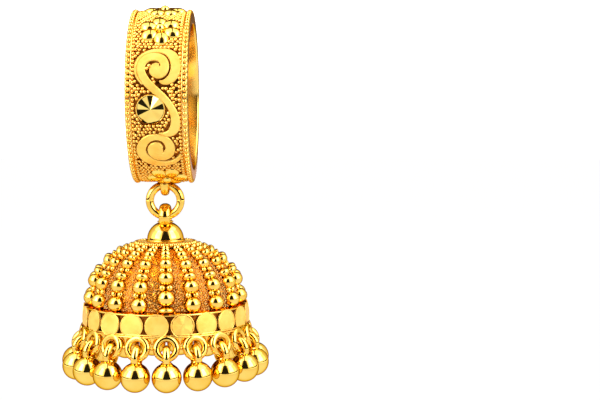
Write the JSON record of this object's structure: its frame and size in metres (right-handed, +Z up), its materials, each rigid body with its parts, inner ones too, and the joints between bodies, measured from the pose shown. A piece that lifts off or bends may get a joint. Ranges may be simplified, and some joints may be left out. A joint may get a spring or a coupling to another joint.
{
  "type": "jhumka earring",
  "caption": "Gold jhumka earring: a wide granulated hoop with scrolls and flowers carries, on a jump ring, a beaded dome bell with a fringe of ball drops.",
  "frame": {"origin": "middle of the ear pin, where the pierced lobe carries the earring", "axes": "+Z up; the hoop's axis runs along X; -Y is the ornamented front"},
  "size_m": [0.0219, 0.022, 0.0387],
  "materials": {
    "polished_gold": "bright polished",
    "granulated_gold": "granulated, fine beads soldered on"
  },
  "bodies": {
    "hoop": {"hoop": "granulated_gold", "ear_pin": "polished_gold"},
    "jump_ring": {"jump_ring": "polished_gold"},
    "bell": {"cap_bead": "polished_gold", "crown_plate": "polished_gold", "bell": "granulated_gold", "ball_drop_01": "polished_gold", "ball_drop_02": "polished_gold", "ball_drop_03": "polished_gold", "ball_drop_04": "polished_gold", "ball_drop_05": "polished_gold", "ball_drop_06": "polished_gold", "ball_drop_07": "polished_gold", "ball_drop_08": "polished_gold", "ball_drop_09": "polished_gold", "ball_drop_10": "polished_gold", "ball_drop_11": "polished_gold", "ball_drop_12": "polished_gold", "ball_drop_13": "polished_gold", "ball_drop_14": "polished_gold", "ball_drop_15": "polished_gold", "ball_drop_16": "polished_gold", "ball_drop_17": "polished_gold", "ball_drop_18": "polished_gold", "ball_drop_19": "polished_gold"}
  },
  "joints": [
    {"name": "fore_aft_swing", "type": "hinge", "parent": "hoop", "child": "jump_ring", "pos_m": [0, 0, -0.01385], "axis": [1, 0, 0], "range_deg": [-40, 40]},
    {"name": "side_sway", "type": "hinge", "parent": "jump_ring", "child": "bell", "pos_m": [0, 0, -0.01547], "axis": [0, 1, 0], "range_deg": [-30, 30]}
  ]
}
